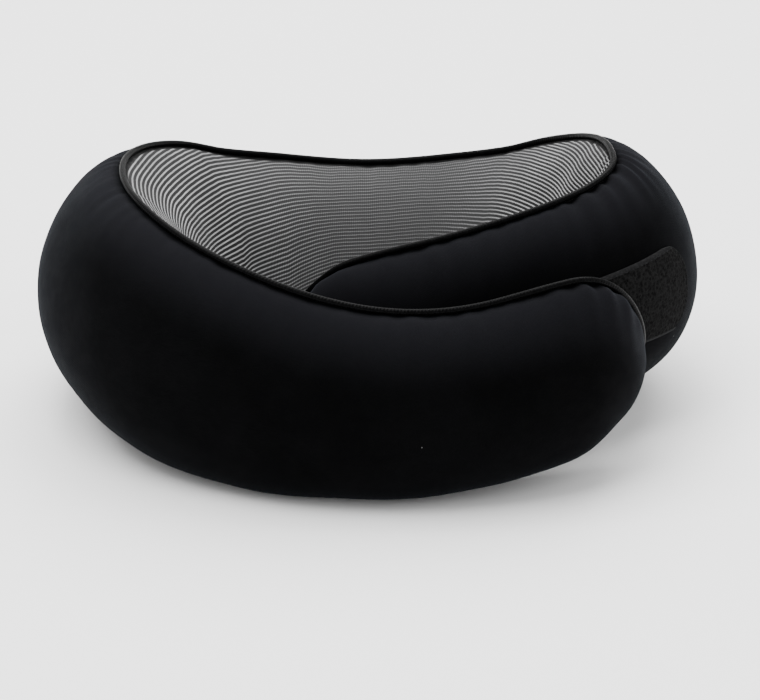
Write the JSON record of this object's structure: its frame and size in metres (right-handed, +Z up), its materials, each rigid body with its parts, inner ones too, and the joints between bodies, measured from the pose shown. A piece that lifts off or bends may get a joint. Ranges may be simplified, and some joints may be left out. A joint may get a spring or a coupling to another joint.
{
  "type": "travel neck pillow",
  "caption": "U shaped wrap-around foam neck pillow with piped stretch cover, ribbed neck panel, overlapping front arms and hook-and-loop closure.",
  "frame": {"origin": "centre of the bounding box, at the resting underside", "axes": "+Z up, +Y towards the nape, +X to the wearer-facing viewer's right, along the widest extent"},
  "size_m": [0.2763, 0.238, 0.1118],
  "materials": {
    "foam": "open cell foam",
    "liner_knit": "plain knit",
    "cover_knit": "smooth matte stretch knit",
    "neck_mesh": "fine light ribs on black mesh",
    "piping": "tight woven cord cover",
    "hook_tape": "plastic hooks on woven tape",
    "loop_tape": "brushed loops",
    "zip_tape": "woven tape",
    "zip_coil": "nylon coil",
    "zip_metal": "black satin enamel"
  },
  "bodies": {
    "nape": {"foam_core_nape": "foam", "liner_nape": "liner_knit", "cover_shell_nape": "cover_knit", "neck_panel_nape": "neck_mesh", "piping_top_nape": "piping", "piping_bottom_nape": "piping", "zip_tape_upper": "zip_tape", "zip_tape_lower": "zip_tape", "zip_coil_upper": "zip_coil", "zip_coil_lower": "zip_coil", "zip_stops": "zip_metal"},
    "left_arm": {"foam_core_left": "foam", "liner_left": "liner_knit", "cover_shell_left": "cover_knit", "neck_panel_left": "neck_mesh", "piping_left": "piping", "hook_patch": "hook_tape"},
    "right_arm": {"foam_core_right": "foam", "liner_right": "liner_knit", "cover_shell_right": "cover_knit", "neck_panel_right": "neck_mesh", "piping_right": "piping", "loop_patch": "loop_tape"},
    "slider": {"zip_slider": "zip_metal"},
    "pull": {"zip_pull": "zip_metal"}
  },
  "joints": [
    {"name": "left_arm_open", "type": "hinge", "parent": "nape", "child": "left_arm", "pos_m": [-0.08425, 0.09788, 0], "axis": [0, 0, -1], "range_deg": [0, 38], "stiffness_Nm_per_rad": 0.6},
    {"name": "right_arm_open", "type": "hinge", "parent": "nape", "child": "right_arm", "pos_m": [0.08425, 0.09788, 0], "axis": [0, 0, 1], "range_deg": [0, 13.3], "stiffness_Nm_per_rad": 0.6},
    {"name": "zip_slide", "type": "hinge", "parent": "nape", "child": "slider", "pos_m": [0, -0.06603, 0.06741], "axis": [0, 0.255, 0.967], "range_deg": [0, 39.1]},
    {"name": "zip_pull_flip", "type": "hinge", "parent": "slider", "child": "pull", "pos_m": [0.06557, 0.11216, 0.01964], "axis": [-0.0376, -0.3553, -0.934], "range_deg": [0, 150]}
  ],
  "couplings": [
    {"joint": "right_arm_open", "follows": "left_arm_open", "ratio": 0.35}
  ]
}
